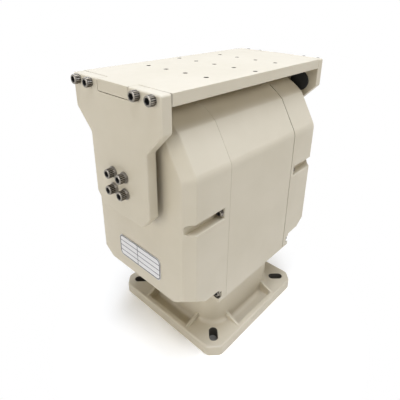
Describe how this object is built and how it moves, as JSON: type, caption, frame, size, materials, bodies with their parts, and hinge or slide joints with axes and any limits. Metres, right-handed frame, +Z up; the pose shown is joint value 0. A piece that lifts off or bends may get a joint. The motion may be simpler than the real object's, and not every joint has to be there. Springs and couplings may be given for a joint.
{
  "type": "remote pan tilt head",
  "caption": "Heavy-duty motorised pan and tilt head: slotted foot, turning two-cover body and a flat payload plate carried on two bolted arms.",
  "frame": {"origin": "middle of the foot's underside, on the pan axis", "axes": "+X along the tilt axis towards the arm with the grommet, +Y towards the side with the inlet, +Z up along the pan axis"},
  "size_m": [0.3874, 0.233, 0.4267],
  "materials": {
    "coat": "satin",
    "steel": "satin",
    "gear_steel": "satin",
    "motor": "satin",
    "rubber": "matte",
    "board": "satin",
    "plastic": "matte",
    "label": "gloss"
  },
  "bodies": {
    "base": {"base_casting": "coat", "inlet_connector": "steel", "pan_spindle": "steel", "pan_bearing_lower_inner_ring": "steel", "pan_bearing_upper_inner_ring": "steel", "pan_lock_nut": "steel", "pan_ring_gear": "gear_steel", "slip_ring_body": "plastic"},
    "head": {"centre_casting": "coat", "left_end_cover": "coat", "right_end_cover": "coat", "left_cover_gasket": "rubber", "right_cover_gasket": "rubber", "name_plate": "label", "control_board": "board", "pan_bearing_lower_outer_ring": "steel", "pan_bearing_upper_outer_ring": "steel", "pan_seal": "rubber", "slip_ring_rotor": "plastic", "pan_gear_motor": "motor", "tilt_bearing_left_outer_ring": "steel", "tilt_bearing_right_outer_ring": "steel", "tilt_seal_left": "rubber", "tilt_seal_right": "rubber", "tilt_gear_motor": "motor", "left_cover_screw_front_upper": "steel", "left_cover_screw_front_lower": "steel", "left_cover_screw_rear_upper": "steel", "left_cover_screw_rear_lower": "steel", "right_cover_screw_front_upper": "steel", "right_cover_screw_front_lower": "steel", "right_cover_screw_rear_upper": "steel", "right_cover_screw_rear_lower": "steel"},
    "pan_pinion": {"pan_drive_pinion": "gear_steel"},
    "tilt_pinion": {"tilt_drive_pinion": "gear_steel"},
    "bracket": {"tilt_shaft": "steel", "tilt_hub_right": "steel", "tilt_bearing_left_inner_ring": "steel", "tilt_bearing_right_inner_ring": "steel", "tilt_gear": "gear_steel", "left_arm": "coat", "right_arm": "coat", "payload_plate": "coat", "cable_grommet": "rubber", "left_arm_top_screw_1": "steel", "left_arm_top_screw_2": "steel", "left_arm_top_screw_3": "steel", "left_arm_top_screw_4": "steel", "left_arm_shaft_screw_1": "steel", "left_arm_shaft_screw_2": "steel", "left_arm_shaft_screw_3": "steel", "left_arm_shaft_screw_4": "steel", "right_arm_top_screw_1": "steel", "right_arm_top_screw_2": "steel", "right_arm_top_screw_3": "steel", "right_arm_top_screw_4": "steel", "right_arm_shaft_screw_1": "steel", "right_arm_shaft_screw_2": "steel", "right_arm_shaft_screw_3": "steel", "right_arm_shaft_screw_4": "steel"}
  },
  "joints": [
    {"name": "pan", "type": "hinge", "parent": "base", "child": "head", "pos_m": [0, 0, 0.098], "axis": [0, 0, 1], "continuous": true},
    {"name": "tilt", "type": "hinge", "parent": "head", "child": "bracket", "pos_m": [0, 0, 0.294], "axis": [1, 0, 0], "range_deg": [-90, 90]},
    {"name": "pan_pinion_spin", "type": "hinge", "parent": "head", "child": "pan_pinion", "pos_m": [0, 0.063, 0.1797], "axis": [0, 0, 1], "continuous": true},
    {"name": "tilt_pinion_spin", "type": "hinge", "parent": "head", "child": "tilt_pinion", "pos_m": [0.095, -0.04186, 0.24042], "axis": [1, 0, 0], "range_deg": [-252, 252]}
  ],
  "couplings": [
    {"joint": "pan_pinion_spin", "follows": "pan", "ratio": 2.5},
    {"joint": "tilt_pinion_spin", "follows": "tilt", "ratio": -2.7778}
  ]
}
